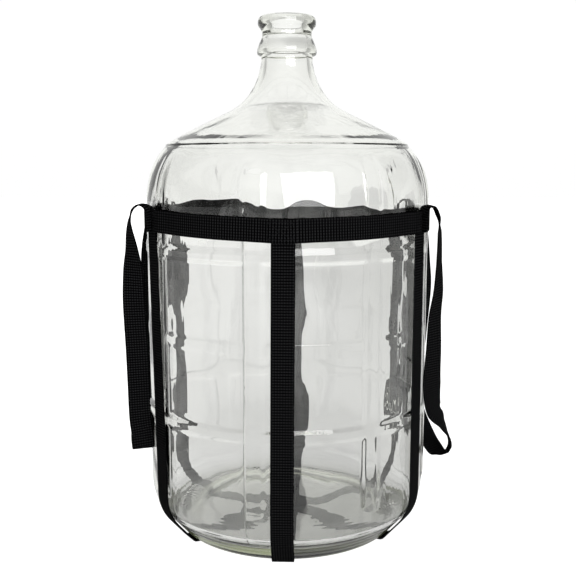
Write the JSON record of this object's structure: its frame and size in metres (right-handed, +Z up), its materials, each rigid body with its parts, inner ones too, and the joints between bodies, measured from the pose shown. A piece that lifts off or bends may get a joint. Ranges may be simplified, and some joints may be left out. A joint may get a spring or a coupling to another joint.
{
  "type": "glass carboy in a webbing carrier",
  "caption": "Glass fermenting bottle with a ribbed body, sloping shoulders and a beaded neck, standing in a black webbing carrier with two hanging loop handles.",
  "frame": {"origin": "on the floor under the bottle's axis, at the middle of the lowest strap's underside", "axes": "+Z up along the bottle's axis, -Y towards the front (the band's sewn lap), +X to the right-hand handle"},
  "size_m": [0.312, 0.2806, 0.4855],
  "materials": {
    "clear_glass": "clear moulded glass, faint green-grey where it is thick",
    "black_webbing": "plain-woven polypropylene webbing, matt with a slight sheen",
    "black_thread": "black bonded polyester sewing thread"
  },
  "bodies": {
    "carrier": {"girth_band": "black_webbing", "front_to_rear_strap": "black_webbing", "right_front_to_left_rear_strap": "black_webbing", "left_front_to_right_rear_strap": "black_webbing", "left_handle_front_end": "black_webbing", "left_handle_rear_end": "black_webbing", "right_handle_front_end": "black_webbing", "right_handle_rear_end": "black_webbing", "band_lap_stitching": "black_thread", "right_front_stitching": "black_thread", "right_rear_stitching": "black_thread", "rear_stitching": "black_thread", "left_rear_stitching": "black_thread", "left_front_stitching": "black_thread", "base_crossing_stitching": "black_thread"},
    "bottle": {"glass_bottle": "clear_glass"},
    "left_handle": {"left_handle_loop": "black_webbing"},
    "right_handle": {"right_handle_loop": "black_webbing"}
  },
  "joints": [
    {"name": "bottle_lift", "type": "slide", "parent": "carrier", "child": "bottle", "axis": [0, 0, 1], "range_m": [0, 0.33]},
    {"name": "left_handle_swing", "type": "hinge", "parent": "carrier", "child": "left_handle", "pos_m": [-0.136, 0, 0.311], "axis": [0, 1, 0], "range_deg": [0, 170]},
    {"name": "right_handle_swing", "type": "hinge", "parent": "carrier", "child": "right_handle", "pos_m": [0.136, 0, 0.311], "axis": [0, -1, 0], "range_deg": [0, 170]}
  ]
}
